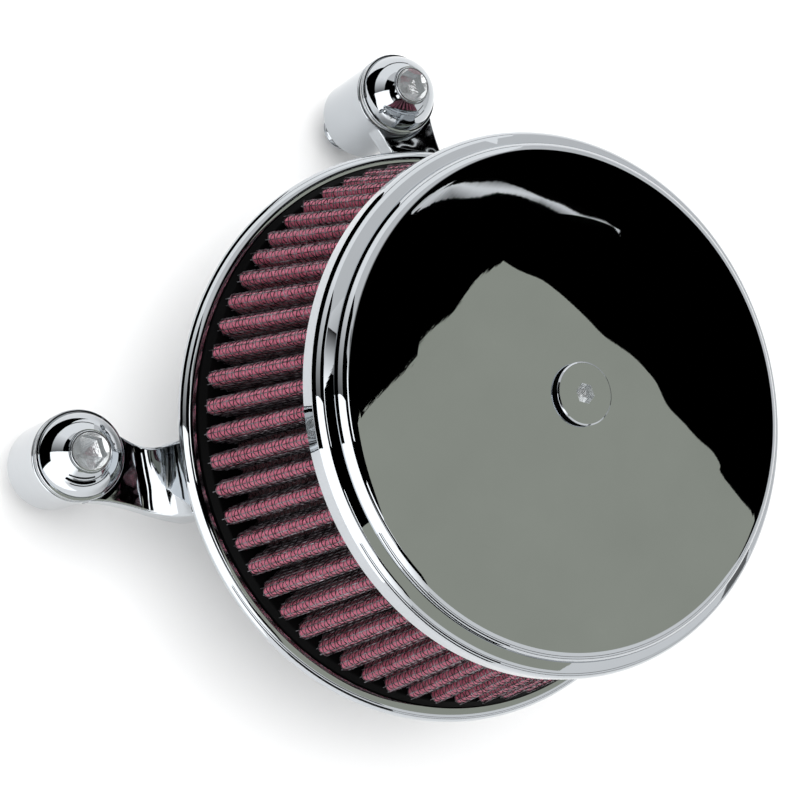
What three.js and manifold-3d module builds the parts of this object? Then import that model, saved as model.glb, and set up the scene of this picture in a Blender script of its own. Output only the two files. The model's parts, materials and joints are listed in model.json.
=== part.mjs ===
// Round motorcycle air cleaner: chrome backplate with two breather posts, tapered pleated filter,
// stamped cover held by one centre screw. Millimetres, +Z towards the cover, +Y up on the bike.
// The origin is the centre of the intake throat on the rear face of the carburettor gasket.
import * as THREE from 'three';
import { mergeVertices } from 'three/addons/utils/BufferGeometryUtils.js';
import Module from 'manifold-3d';

const wasm = await Module();
wasm.setup();

// ---------------------------------------------------------------- driving dimensions
const GAP = 0.3; // air between pieces that rest on each other
const ROUND = 48; // facets round a large turned piece
const SMALL_ROUND = 20; // facets round a screw, post or washer

const GASKET_THICKNESS = 1.5;
const FLANGE_Z = GASKET_THICKNESS + GAP; // rear face of the backplate
const WEB_Z = 5.4; // rear face of the backplate's thin web
const FLOOR_Z = 9.2; // front face of the web, which the filter stands on
const RIM_Z = 15; // foremost line of the backplate's rolled rim
const RIM_R = 80.6;
const RIM_INNER_R = 76.8;
const THROAT_R = 22.5;
const FLANGE_R = 38;

const POST_ANGLE = 46.1; // each breather post, degrees to either side of +Y
const POST_DISTANCE = 102.6; // from the filter axis to a post's axis
const POST_R = 12.1;
const POST_FRONT_Z = -5;
const POST_REAR_Z = -29.1;
const ARM_REAR_Z = -12;
const BREATHER_Z = POST_FRONT_Z - 3.6; // level of the breather passage
const BREATHER_HOLE_R = 2.1;

const PLEATS = 64;
const PLEAT_DEPTH = 8.5;
const MEDIA_THICKNESS = 1.7;
const MEDIA_REAR_Z = 17.9;
const MEDIA_FRONT_Z = 64.2;
const CREST_REAR_R = 75.9;
const CREST_FRONT_R = 65.3;
const CAP_INNER_REAR_R = 57.6;
const CAP_INNER_FRONT_R = 50.6;

const COVER_R = 69.7;
const COVER_REAR_Z = 64.3;
const COVER_FACE_Z = 78.2; // crown of the domed face
const COVER_FACE_R = 62.2; // where the face turns down into its rounded shoulder
const COVER_WALL = 1.2;
const COVER_DOME = 2.1; // rise of the face between its edge and its crown
const SCREW_WASHER = 0.5; // thickness of the washer under the cover screw

const SUPPORT_R = 42; // circle of the three stand-offs
const SUPPORT_ANGLES = [90, 210, 330];
const INTAKE_SCREW_R = 30.5; // circle of the three intake screws
const INTAKE_SCREW_ANGLES = [30, 150, 270];
const BRACKET_Z = 66;
const BRACKET_THICKNESS = 3;

// ---------------------------------------------------------------- materials
function finish(color, roughness, metalness) {
  return new THREE.MeshStandardMaterial({ color, roughness, metalness });
}
const chrome = () => finish(0xd8dadc, 0.06, 1);
const aluminium = () => finish(0xb4b7ba, 0.4, 0.9);
const zincSteel = () => finish(0x9a9da1, 0.35, 0.9);
const blackRubber = () => finish(0x151516, 0.7, 0);
const redGauze = () => finish(0x8e2f47, 0.85, 0);
const wireScreen = () => finish(0x55585c, 0.5, 0.7);
const gasketPaper = () => finish(0x6b6a63, 0.9, 0);

// ---------------------------------------------------------------- geometry helpers
function asSolid(geometry) {
  const bare = geometry.clone();
  bare.deleteAttribute('normal');
  bare.deleteAttribute('uv');
  const merged = mergeVertices(bare, 1e-4);
  const index = merged.index.array;
  const triangles = [];
  for (let i = 0; i < index.length; i += 3) {
    const [a, b, c] = [index[i], index[i + 1], index[i + 2]];
    if (a !== b && b !== c && c !== a) {
      triangles.push(a, b, c);
    }
  }
  const mesh = new wasm.Mesh({
    numProp: 3,
    vertProperties: new Float32Array(merged.attributes.position.array),
    triVerts: new Uint32Array(triangles),
  });
  return new wasm.Manifold(mesh);
}

function asMesh(name, solid, material) {
  const { vertProperties, triVerts } = solid.getMesh();
  const geometry = new THREE.BufferGeometry();
  geometry.setAttribute('position', new THREE.BufferAttribute(new Float32Array(vertProperties), 3));
  geometry.setIndex(new THREE.BufferAttribute(new Uint32Array(triVerts), 1));
  geometry.computeVertexNormals();
  const mesh = new THREE.Mesh(geometry, material);
  mesh.name = name;
  return mesh;
}

// Turns a profile of [radius, z] points round the Z axis. It closes on itself or meets the axis.
function turned(profile, facets = ROUND) {
  const points = profile.map(([r, z]) => new THREE.Vector2(r, z));
  if (!points[0].equals(points[points.length - 1]) && points[0].x > 0) {
    points.push(points[0].clone());
  }
  if (THREE.ShapeUtils.area(points) < 0) {
    points.reverse();
  }
  const geometry = new THREE.LatheGeometry(points, facets);
  geometry.rotateX(Math.PI / 2);
  return asSolid(geometry);
}

// Points of an arc in the profile plane, angles in degrees from the radial direction.
function arc(centreR, centreZ, radiusR, from, to, steps, radiusZ = radiusR) {
  const points = [];
  for (let i = 0; i <= steps; i += 1) {
    const angle = THREE.MathUtils.degToRad(from + ((to - from) * i) / steps);
    points.push([centreR + radiusR * Math.cos(angle), centreZ + radiusZ * Math.sin(angle)]);
  }
  return points;
}

// A round bar between two points.
function bar(from, to, radius, facets = SMALL_ROUND) {
  const start = new THREE.Vector3(...from);
  const end = new THREE.Vector3(...to);
  const along = end.clone().sub(start);
  const geometry = new THREE.CylinderGeometry(radius, radius, along.length(), facets);
  const turn = new THREE.Quaternion().setFromUnitVectors(
    new THREE.Vector3(0, 1, 0),
    along.clone().normalize(),
  );
  geometry.applyQuaternion(turn);
  geometry.translate(...start.add(end).multiplyScalar(0.5).toArray());
  return asSolid(geometry);
}

function verticalBar([x, y], rearZ, frontZ, radius, facets = SMALL_ROUND) {
  return bar([x, y, rearZ], [x, y, frontZ], radius, facets);
}

function hexagonBar(centre, rearZ, frontZ, acrossFlats) {
  return verticalBar(centre, rearZ, frontZ, acrossFlats / Math.sqrt(3), 6);
}

function slab(shape, rearZ, frontZ, curveSegments = 8) {
  const depth = frontZ - rearZ;
  const geometry = new THREE.ExtrudeGeometry(shape, { depth, bevelEnabled: false, curveSegments });
  geometry.translate(0, 0, rearZ);
  return asSolid(geometry);
}

function polar(radius, degrees) {
  const angle = THREE.MathUtils.degToRad(degrees);
  return [radius * Math.cos(angle), radius * Math.sin(angle)];
}

// ---------------------------------------------------------------- backplate
const SIDES = [
  { name: 'left', degrees: 90 + POST_ANGLE, outward: 1 },
  { name: 'right', degrees: 90 - POST_ANGLE, outward: -1 },
];

// A point given by its distance along a post's radial line and its offset away from +Y.
function armPoint(side, distance, offset) {
  const [x, y] = polar(1, side.degrees);
  const shift = offset * side.outward;
  return [distance * x - shift * y, distance * y + shift * x];
}

function postCentre(side) {
  return armPoint(side, POST_DISTANCE, 0);
}

function dish() {
  const rimMiddle = (RIM_R + RIM_INNER_R) / 2;
  const rimHalf = (RIM_R - RIM_INNER_R) / 2;
  return turned([
    [THROAT_R, FLANGE_Z],
    [FLANGE_R, FLANGE_Z],
    [FLANGE_R + 1, WEB_Z],
    [75.6, WEB_Z],
    [78.6, WEB_Z + 2.6],
    [79, RIM_Z - 3.6],
    [79.6, RIM_Z - 3.4],
    ...arc(rimMiddle, RIM_Z - 1.9, rimHalf, -20, 180, 6),
    [RIM_INNER_R, FLOOR_Z],
    [57.1, FLOOR_Z],
    [56.8, FLOOR_Z + 2.6],
    [54.6, FLOOR_Z + 2.6],
    [54.3, FLOOR_Z],
    [THROAT_R, FLOOR_Z],
  ]);
}

// The arm's cross-section is turned with the plate, so its cove follows the rim above it.
function armRing() {
  const crease = 87;
  const coveTop = RIM_Z - 7;
  return turned([
    [46, WEB_Z - GAP],
    [46, FLANGE_Z],
    [66, ARM_REAR_Z],
    [POST_DISTANCE + 2, ARM_REAR_Z],
    [POST_DISTANCE + 2, POST_FRONT_Z],
    ...arc(crease, coveTop, 7.8, -90, -180, 5, coveTop - POST_FRONT_Z),
    [75.9, WEB_Z - GAP],
  ]);
}

function armOutline(side) {
  const innerEdge = [[46, 2], [60, -1], [70, -4.5], [76, -2.8], [80.5, -0.6], [85, -1.8], [90, -4.8],
    [95, -8.4], [100, -11.6]];
  const outerEdge = [[100, 11.9], [95, 12.5], [88, 14.4], [80, 17.4], [72, 19.6], [60, 16], [46, 13]];
  const place = ([distance, offset]) => new THREE.Vector2(...armPoint(side, distance, offset));
  const points = [...innerEdge, ...outerEdge].map(place);
  if (side.outward < 0) {
    points.reverse();
  }
  return new THREE.Shape(points);
}

function post(side) {
  const bore = 6.35 + 0.4;
  const sealR = 9.9;
  const solid = turned([
    [bore, POST_FRONT_Z],
    [POST_R - 0.4, POST_FRONT_Z],
    [POST_R, POST_FRONT_Z - 0.4],
    [POST_R - 0.3, POST_REAR_Z + 0.5],
    [POST_R - 0.8, POST_REAR_Z],
    [sealR, POST_REAR_Z],
    [sealR, POST_REAR_Z + 2.3],
    [bore, POST_REAR_Z + 2.3],
    [bore, BREATHER_Z - 2.6],
    [bore + 1.6, BREATHER_Z - 2.6],
    [bore + 1.6, BREATHER_Z + 2.2],
    [bore, BREATHER_Z + 2.2],
  ], SMALL_ROUND);
  return solid.translate([...postCentre(side), 0]);
}

// A drilled way from the post's annular groove, along the arm, up through the floor of the dish.
function breatherPassage(side) {
  const start = [...armPoint(side, POST_DISTANCE - 7.4, 1), BREATHER_Z];
  const turn = [...armPoint(side, 72, 8), BREATHER_Z];
  const exit = [...armPoint(side, 50, 8), FLOOR_Z + 2];
  return bar(start, turn, BREATHER_HOLE_R, 12).add(bar(turn, exit, BREATHER_HOLE_R + 0.3, 12));
}

function breatherArm(side) {
  const arm = armRing().intersect(slab(armOutline(side), ARM_REAR_Z - 1, RIM_Z));
  const postHollow = verticalBar(postCentre(side), POST_REAR_Z, POST_FRONT_Z + 1, POST_R - 1);
  return arm.subtract(postHollow).add(post(side)).subtract(breatherPassage(side));
}

function backplate() {
  let plate = dish();
  for (const side of SIDES) {
    plate = plate.subtract(breatherPassage(side));
  }
  for (const degrees of SUPPORT_ANGLES) {
    const centre = polar(SUPPORT_R, degrees);
    plate = plate.add(verticalBar(centre, FLANGE_Z, WEB_Z + 1, 6.6));
    plate = plate.subtract(verticalBar(centre, FLANGE_Z + 1.2, FLOOR_Z + 1, 3.2, 16));
  }
  for (const degrees of INTAKE_SCREW_ANGLES) {
    plate = plate.subtract(verticalBar(polar(INTAKE_SCREW_R, degrees), 0, FLOOR_Z + 1, 3.5, 16));
  }
  return plate;
}

// ---------------------------------------------------------------- intake side
const HORN_Z = FLOOR_Z + GAP;
const HORN_FLANGE = 3;

function intakeGasket() {
  let gasket = turned([[23.6, 0], [37.4, 0], [37.4, GASKET_THICKNESS], [23.6, GASKET_THICKNESS]], 36);
  for (const degrees of INTAKE_SCREW_ANGLES) {
    gasket = gasket.subtract(verticalBar(polar(INTAKE_SCREW_R, degrees), -1, 3, 3.5, 16));
  }
  return gasket;
}

function intakeHorn() {
  const flangeTop = HORN_Z + HORN_FLANGE;
  let horn = turned([
    [THROAT_R, HORN_Z],
    [35.5, HORN_Z],
    [35.5, flangeTop],
    [25.1, flangeTop],
    ...arc(24.6, flangeTop + 3.8, 0.6, 0, 90, 1),
    ...arc(25, flangeTop + 0.4, 2.5, 100, 180, 3, 4),
  ], 36);
  for (const degrees of INTAKE_SCREW_ANGLES) {
    horn = horn.subtract(verticalBar(polar(INTAKE_SCREW_R, degrees), FLOOR_Z, RIM_Z, 3.5, 16));
  }
  return horn;
}

function intakeScrew(degrees) {
  const seat = HORN_Z + HORN_FLANGE + GAP;
  const head = 4.8;
  const screw = turned([
    [0, -14],
    [2.5, -14],
    [3, -13.5],
    [3, seat],
    [head, seat],
    [head, seat + 3.6],
    [head - 0.5, seat + 4.1],
    [0, seat + 4.1],
  ], SMALL_ROUND).subtract(hexagonBar([0, 0], seat + 1.4, seat + 5, 4.8));
  return screw.translate([...polar(INTAKE_SCREW_R, degrees), 0]);
}

// ---------------------------------------------------------------- cover support
const STANDOFF_TOP = BRACKET_Z - GAP;

function standoff(degrees) {
  const centre = polar(SUPPORT_R, degrees);
  const body = hexagonBar(centre, FLOOR_Z + GAP, STANDOFF_TOP, 10);
  const stud = verticalBar(centre, FLANGE_Z + 1.6, FLOOR_Z + 1, 2.85, 16);
  return body.add(stud).subtract(verticalBar(centre, STANDOFF_TOP - 13, STANDOFF_TOP + 1, 2.75, 16));
}

function coverBracket() {
  const front = BRACKET_Z + BRACKET_THICKNESS;
  let bracket = verticalBar([0, 0], BRACKET_Z, front, 14, 24);
  for (const degrees of SUPPORT_ANGLES) {
    const leg = new THREE.BoxGeometry(SUPPORT_R, 10, BRACKET_THICKNESS);
    leg.translate(SUPPORT_R / 2, 0, BRACKET_Z + BRACKET_THICKNESS / 2);
    leg.rotateZ(THREE.MathUtils.degToRad(degrees));
    bracket = bracket.add(asSolid(leg));
    bracket = bracket.add(verticalBar(polar(SUPPORT_R, degrees), BRACKET_Z, front, 6.4));
  }
  for (const degrees of SUPPORT_ANGLES) {
    bracket = bracket.subtract(verticalBar(polar(SUPPORT_R, degrees), BRACKET_Z - 1, front + 1, 2.8, 16));
  }
  return bracket.subtract(verticalBar([0, 0], BRACKET_Z - 1, front + 1, 6.8));
}

function bracketScrew(degrees) {
  const seat = BRACKET_Z + BRACKET_THICKNESS + GAP;
  const screw = turned([
    [0, seat - 13],
    [2, seat - 13],
    [2.4, seat - 12.6],
    [2.4, seat],
    [4.6, seat],
    [4.2, seat + 1.6],
    [2.8, seat + 2.6],
    [0, seat + 2.6],
  ], SMALL_ROUND).subtract(hexagonBar([0, 0], seat + 0.8, seat + 4, 3.2));
  return screw.translate([...polar(SUPPORT_R, degrees), 0]);
}

function coverNut() {
  const seat = BRACKET_Z + BRACKET_THICKNESS + GAP;
  return turned([
    [4.35, BRACKET_Z - 6],
    [6.5, BRACKET_Z - 6],
    [6.5, seat],
    [8.6, seat],
    [8.6, seat + 1.8],
    [4.35, seat + 1.8],
  ], SMALL_ROUND);
}

// ---------------------------------------------------------------- filter element
// Repeats one fold's points, each a radius and a share of the fold's pitch, all the way round.
function zigzag(fold) {
  const pitch = 360 / PLEATS;
  const points = [];
  for (let i = 0; i < PLEATS; i += 1) {
    for (const [radius, share] of fold) {
      points.push(new THREE.Vector2(...polar(radius, (i + share) * pitch)));
    }
  }
  return points;
}

function pleatedMedia() {
  const taper = CREST_FRONT_R / CREST_REAR_R;
  const valleyR = CREST_REAR_R - PLEAT_DEPTH;
  const crestR = CREST_REAR_R;
  const outerFold = [[crestR, -0.1], [crestR, 0.1], [valleyR, 0.42], [valleyR, 0.58]];
  const innerFold = [[crestR - 2.5 * MEDIA_THICKNESS, 0], [valleyR - MEDIA_THICKNESS, 0.5]];
  const shape = new THREE.Shape(zigzag(outerFold));
  shape.holes.push(new THREE.Path(zigzag(innerFold)));
  const length = MEDIA_FRONT_Z - MEDIA_REAR_Z;
  const geometry = new THREE.ExtrudeGeometry(shape, { depth: length, bevelEnabled: false });
  const position = geometry.attributes.position;
  for (let i = 0; i < position.count; i += 1) {
    const scale = 1 + ((taper - 1) * position.getZ(i)) / length;
    position.setX(i, position.getX(i) * scale);
    position.setY(i, position.getY(i) * scale);
  }
  geometry.translate(0, 0, MEDIA_REAR_Z);
  return asSolid(geometry);
}

function innerScreen() {
  const rearR = CREST_REAR_R - PLEAT_DEPTH - MEDIA_THICKNESS - GAP;
  const frontR = (rearR * CREST_FRONT_R) / CREST_REAR_R;
  return turned([
    [rearR - 0.9, MEDIA_REAR_Z],
    [rearR, MEDIA_REAR_Z],
    [frontR, MEDIA_FRONT_Z],
    [frontR - 0.9, MEDIA_FRONT_Z],
  ]);
}

function rearCap() {
  const outer = RIM_INNER_R - GAP;
  const top = MEDIA_REAR_Z - GAP;
  return turned([
    [CAP_INNER_REAR_R, FLOOR_Z + GAP],
    [outer - 0.5, FLOOR_Z + GAP],
    [outer, FLOOR_Z + 0.8],
    [outer, top - 2],
    [outer - 0.4, top - 0.5],
    [outer - 1, top],
    [CAP_INNER_REAR_R + 0.6, top],
    [CAP_INNER_REAR_R, top - 0.6],
  ]);
}

function frontCap() {
  const rear = MEDIA_FRONT_Z + GAP;
  return turned([
    [CAP_INNER_FRONT_R, rear],
    [66.2, rear],
    [66.2, rear + 5],
    [65.4, rear + 6.1],
    [61.2, rear + 6.3],
    [60.3, rear + 9.6],
    [59.4, rear + 10],
    [55.6, rear + 10],
    [54.8, rear + 9.6],
    [54, rear + 6.3],
    [CAP_INNER_FRONT_R, rear + 6.3],
  ]);
}

// ---------------------------------------------------------------- cover
// The stamped section, from the skirt's rear edge to the flat seat of the centre screw.
function coverSection() {
  const seatR = 9;
  const domeSteps = 3;
  const section = [[COVER_R, COVER_REAR_Z]];
  section.push(...arc(COVER_R - 2, COVER_REAR_Z + 4.9, 2, 0, 54, 2));
  section.push([COVER_R - 3.5, COVER_REAR_Z + 8.3]);
  section.push(...arc(COVER_FACE_R - 0.3, COVER_FACE_Z - COVER_DOME - 3.6, 3.6, 12, 86, 3));
  for (let i = 1; i <= domeSteps; i += 1) {
    const inward = 1 - i / domeSteps;
    const radius = seatR + (COVER_FACE_R - seatR) * inward;
    section.push([radius, COVER_FACE_Z - COVER_DOME * inward * inward]);
  }
  section.push([4.5, COVER_FACE_Z]);
  return section;
}

// The same section moved inwards by the sheet's thickness.
function insideOf(section, wall) {
  return section.map(([r, z], i) => {
    const before = section[Math.max(i - 1, 0)];
    const after = section[Math.min(i + 1, section.length - 1)];
    const run = new THREE.Vector2(after[0] - before[0], after[1] - before[1]).normalize();
    return [r - run.y * wall, z + run.x * wall];
  });
}

function cover() {
  const outside = coverSection();
  return turned([...outside, ...insideOf(outside, COVER_WALL).reverse()], ROUND);
}

function coverScrew() {
  const seat = COVER_FACE_Z + SCREW_WASHER + 2 * GAP;
  const top = seat + 1.1;
  return turned([
    [0, BRACKET_Z - 5.5],
    [3.3, BRACKET_Z - 5.5],
    [3.95, BRACKET_Z - 4.8],
    [3.95, seat],
    [7.9, seat],
    [8.1, seat + 0.2],
    [8.1, seat + 0.5],
    [7.4, top],
    [0, top],
  ], 30).subtract(hexagonBar([0, 0], top - 4, top + 1, 4.76));
}

function coverScrewWasher() {
  const rear = COVER_FACE_Z + GAP;
  const front = rear + SCREW_WASHER;
  return turned([[4.35, rear], [7.6, rear], [7.6, front], [4.35, front]], SMALL_ROUND);
}

// ---------------------------------------------------------------- breather bolts
const WASHER_Z = POST_FRONT_Z + GAP;
const WASHER_THICKNESS = 0.9;
const BOLT_Z = WASHER_Z + WASHER_THICKNESS + GAP; // rear face of the bolt's flange
const BOLT_TIP_Z = -40.5;
const BOLT_R = 6.35;

function breatherBolt(side) {
  const domeZ = BOLT_Z + 1.5;
  const domeR = 11.5;
  const socketTop = BOLT_Z + 9.9;
  const bolt = turned([
    [0, POST_FRONT_Z - 1.4],
    [2.4, POST_FRONT_Z - 1.4],
    [2.4, BOLT_TIP_Z],
    [BOLT_R - 0.8, BOLT_TIP_Z],
    [BOLT_R, BOLT_TIP_Z + 0.8],
    [BOLT_R, BOLT_Z],
    [POST_R - 0.2, BOLT_Z],
    [POST_R, BOLT_Z + 0.3],
    [POST_R, BOLT_Z + 1.1],
    [POST_R - 0.3, domeZ],
    [domeR - 0.4, domeZ],
    ...arc(0, domeZ - 2.2, domeR, 14, 60, 4),
    [5.3, socketTop - 1],
    [5.3, socketTop - 0.2],
    [5.1, socketTop],
    [0, socketTop],
  ], 24);
  const socket = hexagonBar([0, 0], socketTop - 5.2, socketTop + 1, 7.94);
  const crossHole = bar([-10, 0, BREATHER_Z], [10, 0, BREATHER_Z], 1.9, 12);
  return bolt.subtract(socket).subtract(crossHole).translate([...postCentre(side), 0]);
}

function boltWasher(side) {
  const front = WASHER_Z + WASHER_THICKNESS;
  const washer = turned([[6.75, WASHER_Z], [11.6, WASHER_Z], [11.6, front], [6.75, front]], 24);
  return washer.translate([...postCentre(side), 0]);
}

function postSeal(side) {
  const ring = turned(arc(8.3, POST_REAR_Z + 0.8, 1.2, 0, 360, 7).slice(0, -1), SMALL_ROUND);
  return ring.translate([...postCentre(side), 0]);
}

// ---------------------------------------------------------------- assembly
const airFilter = new THREE.Group();
airFilter.name = 'air_filter';

function place(name, solid, material) {
  airFilter.add(asMesh(name, solid, material));
}

place('backplate', backplate(), chrome());
for (const side of SIDES) {
  place(`${side.name}_breather_arm`, breatherArm(side), chrome());
}
place('intake_gasket', intakeGasket(), gasketPaper());
place('intake_horn', intakeHorn(), aluminium());
place('cover_bracket', coverBracket(), zincSteel());
place('cover_nut', coverNut(), zincSteel());
SUPPORT_ANGLES.forEach((degrees, i) => {
  place(`standoff_${i + 1}`, standoff(degrees), aluminium());
  place(`bracket_screw_${i + 1}`, bracketScrew(degrees), zincSteel());
});
INTAKE_SCREW_ANGLES.forEach((degrees, i) => {
  place(`intake_screw_${i + 1}`, intakeScrew(degrees), zincSteel());
});

place('filter_media', pleatedMedia(), redGauze());
place('filter_inner_screen', innerScreen(), wireScreen());
place('filter_rear_cap', rearCap(), blackRubber());
place('filter_front_cap', frontCap(), blackRubber());

place('cover', cover(), chrome());
place('cover_screw', coverScrew(), chrome());
place('cover_screw_washer', coverScrewWasher(), blackRubber());

for (const side of SIDES) {
  place(`${side.name}_breather_bolt`, breatherBolt(side), chrome());
  place(`${side.name}_bolt_washer`, boltWasher(side), zincSteel());
  place(`${side.name}_post_seal`, postSeal(side), blackRubber());
}

export default airFilter;
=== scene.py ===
"""Looks of a round chrome motorcycle air cleaner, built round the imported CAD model.

Pieces are modelled in millimetres, and each is turned into metres when it is dressed.
Pieces are placed from the CAD nodes' boxes, and take their bodies and slots from the record.
"""
import json
import math
import random
from collections import namedtuple

import bpy
import numpy as np
from mathutils import Matrix, Vector


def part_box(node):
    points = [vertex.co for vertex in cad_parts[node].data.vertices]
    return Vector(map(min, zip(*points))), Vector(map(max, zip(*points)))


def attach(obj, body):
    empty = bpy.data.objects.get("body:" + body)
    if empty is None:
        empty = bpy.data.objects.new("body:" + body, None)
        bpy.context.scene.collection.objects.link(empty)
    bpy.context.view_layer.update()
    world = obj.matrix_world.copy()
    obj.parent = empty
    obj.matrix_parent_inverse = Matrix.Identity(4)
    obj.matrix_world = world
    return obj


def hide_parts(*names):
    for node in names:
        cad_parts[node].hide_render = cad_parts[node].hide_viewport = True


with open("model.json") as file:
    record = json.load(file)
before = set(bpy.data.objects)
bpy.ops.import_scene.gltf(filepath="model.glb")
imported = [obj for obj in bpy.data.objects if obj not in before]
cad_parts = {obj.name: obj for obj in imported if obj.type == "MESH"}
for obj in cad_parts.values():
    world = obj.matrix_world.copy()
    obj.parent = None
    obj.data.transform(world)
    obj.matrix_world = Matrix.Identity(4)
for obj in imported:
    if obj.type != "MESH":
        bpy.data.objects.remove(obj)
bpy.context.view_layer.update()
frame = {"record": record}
scene = bpy.context.scene
RECORD = frame["record"]

MM = 0.001
FINE = 256  # segments round the cover, rim and end caps
MEDIUM = 96  # segments round posts, bolts and screws
SAME = 1e-6  # millimetres within which two sizes count as the same

Thread = namedtuple("Thread", "radius low high pitch depth")


def box_mm(node):
    """A CAD node's lowest and highest corners, in millimetres."""
    low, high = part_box(node)
    return low / MM, high / MM


def centre_mm(node):
    """The middle of a CAD node's box, in millimetres."""
    low, high = box_mm(node)
    return (low + high) / 2


# ---------------- sizes taken from the frame
PLATE_LOW, PLATE_HIGH = box_mm("backplate")
RIM_R, RIM_Z, FLANGE_Z = PLATE_HIGH.x, PLATE_HIGH.z, PLATE_LOW.z
COVER_LOW, COVER_HIGH = box_mm("cover")
COVER_R, COVER_REAR_Z, COVER_FACE_Z = COVER_HIGH.x, COVER_LOW.z, COVER_HIGH.z
MEDIA_LOW, MEDIA_HIGH = box_mm("filter_media")
CREST_R, MEDIA_REAR_Z, MEDIA_FRONT_Z = MEDIA_HIGH.x, MEDIA_LOW.z, MEDIA_HIGH.z
REAR_CAP_LOW, REAR_CAP_HIGH = box_mm("filter_rear_cap")
FRONT_CAP_LOW, FRONT_CAP_HIGH = box_mm("filter_front_cap")
BOLT_LOW, BOLT_HIGH = box_mm("left_breather_bolt")
POST_R = (BOLT_HIGH.x - BOLT_LOW.x) / 2
POST_REAR_Z = box_mm("left_breather_arm")[0].z
HORN_LOW, HORN_HIGH = box_mm("intake_horn")
BRACKET_LOW, BRACKET_HIGH = box_mm("cover_bracket")
SUPPORT_R = centre_mm("standoff_1").y
FLOOR_LEVEL = BOLT_LOW.z

# ---------------- sizes of details
WEB_Z = 5.4  # rear face of the backplate's web
FLOOR_Z = 9.2  # front face of the web
RIM_INNER_R = 76.8
THROAT_R = 22.5
POST_ANGLE = 46.1  # each post, degrees to either side of +Y
POST_DISTANCE = 102.6
POST_FRONT_Z = -5.0
ARM_REAR_Z = -12.0
BREATHER_Z = POST_FRONT_Z - 3.6
CREASE_R = 87.0  # circle where an arm's flat face turns up into its cove
COVE_TOP_Z = 8.0
COVE_R = 7.8
BORE_R = 6.75
COVER_FACE_R = 62.2

PLEATS = 64
PLEAT_DEPTH = 8.5
TAPER = 65.3 / 75.9  # the element's front outline over its rear one
CREST_ROUNDING = 2.15
VALLEY_ROUNDING = 0.9
WIRES_PER_FOLD = 11
HOOPS = 33
WIRE_R = 0.15
WEAVE = 0.22  # how far a hoop wire swings over and under the straight wires
GAUZE_INSET = 0.42
GAUZE_PUFF = 0.26
GAUZE_THICKNESS = 1.4
MESH_R = CREST_R - WIRE_R - WEAVE + 0.2
MESH_VALLEY_R = MESH_R - PLEAT_DEPTH
THREADS_PER_CELL = 4  # gauze threads across one opening of the wire mesh


# ---------------- mesh helpers
def new_object(name, points, faces):
    mesh = bpy.data.meshes.new(name)
    mesh.from_pydata(points, [], faces)
    mesh.update()
    item = bpy.data.objects.new(name, mesh)
    scene.collection.objects.link(item)
    return item


def mesh_piece(name, points, faces, sharp_degrees=32):
    """A smooth-shaded mesh object from points in millimetres."""
    piece = new_object(name, np.asarray(points, float), faces)
    smooth(piece, sharp_degrees)
    return piece


def smooth(piece, sharp_degrees=32):
    """Shades a piece smooth, but for the edges that turn by more than an angle."""
    piece.data.shade_smooth()
    piece.data.set_sharp_from_angle(angle=math.radians(sharp_degrees))


def apply(piece, modifier):
    bpy.context.view_layer.objects.active = piece
    bpy.ops.object.modifier_apply(modifier=modifier.name)


def finish_mesh(piece):
    """Keeps flat faces looking flat beside their small rounded corners, then goes over to metres."""
    weighted = piece.modifiers.new("normals", "WEIGHTED_NORMAL")
    weighted.keep_sharp = True
    apply(piece, weighted)
    piece.data.transform(Matrix.Scale(MM, 4))


def fillet(before, corner, after, radius):
    """The points of a rounded corner between two straight runs of an outline."""
    corner = np.array(corner, float)
    to_before = np.array(before, float) - corner
    to_after = np.array(after, float) - corner
    length_before = np.linalg.norm(to_before)
    length_after = np.linalg.norm(to_after)
    u, v = to_before / length_before, to_after / length_after
    opening = math.acos(np.clip(u @ v, -1, 1))
    if radius <= 0 or opening > math.radians(178):
        return [corner]
    reach = min(radius / math.tan(opening / 2), 0.45 * length_before, 0.45 * length_after)
    radius = reach * math.tan(opening / 2)
    middle = (u + v) / np.linalg.norm(u + v)
    centre = corner + middle * radius / math.sin(opening / 2)
    steps = 2 * max(1, round(math.degrees(math.pi - opening) / 24))  # about 12 degrees each
    start, end = corner + u * reach - centre, corner + v * reach - centre
    sweep = math.atan2(start[0] * end[1] - start[1] * end[0], start @ end)
    points = []
    for i in range(steps + 1):
        angle = sweep * i / steps
        cosine, sine = math.cos(angle), math.sin(angle)
        turned = (start[0] * cosine - start[1] * sine, start[0] * sine + start[1] * cosine)
        points.append(centre + np.array(turned))
    return points


def rounded(outline, closed, radius=0.2):
    """Rounds an outline's corners, each by its third number or by the given radius."""
    count = len(outline)
    points = []
    for i, corner in enumerate(outline):
        if not closed and i in (0, count - 1):
            points.append(np.array(corner[:2], float))
            continue
        own = corner[2] if len(corner) > 2 else radius
        before, after = outline[i - 1][:2], outline[(i + 1) % count][:2]
        points.extend(fillet(before, corner[:2], after, own))
    return points


def arc(centre_r, centre_z, radius_r, start, end, steps, radius_z=None):
    """Points of an arc or part ellipse in the profile plane, none of them to be rounded."""
    radius_z = radius_r if radius_z is None else radius_z
    points = []
    for i in range(steps + 1):
        angle = math.radians(start + (end - start) * i / steps)
        points.append((centre_r + radius_r * math.cos(angle), centre_z + radius_z * math.sin(angle), 0))
    return points


def divided(points, thread):
    """Adds rows along the straight run of a profile that a thread is cut into."""
    rows_per_pitch = 8
    step = thread.pitch / rows_per_pitch
    dense = []
    for here, there in zip(points, points[1:] + points[:1]):
        dense.append(here)
        on_run = abs(here[0] - thread.radius) < SAME and abs(there[0] - thread.radius) < SAME
        if on_run and abs(here[1] - there[1]) > step:
            rows = math.ceil(abs(here[1] - there[1]) / step)
            dense.extend(here + (there - here) * k / rows for k in range(1, rows))
    return dense


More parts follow.
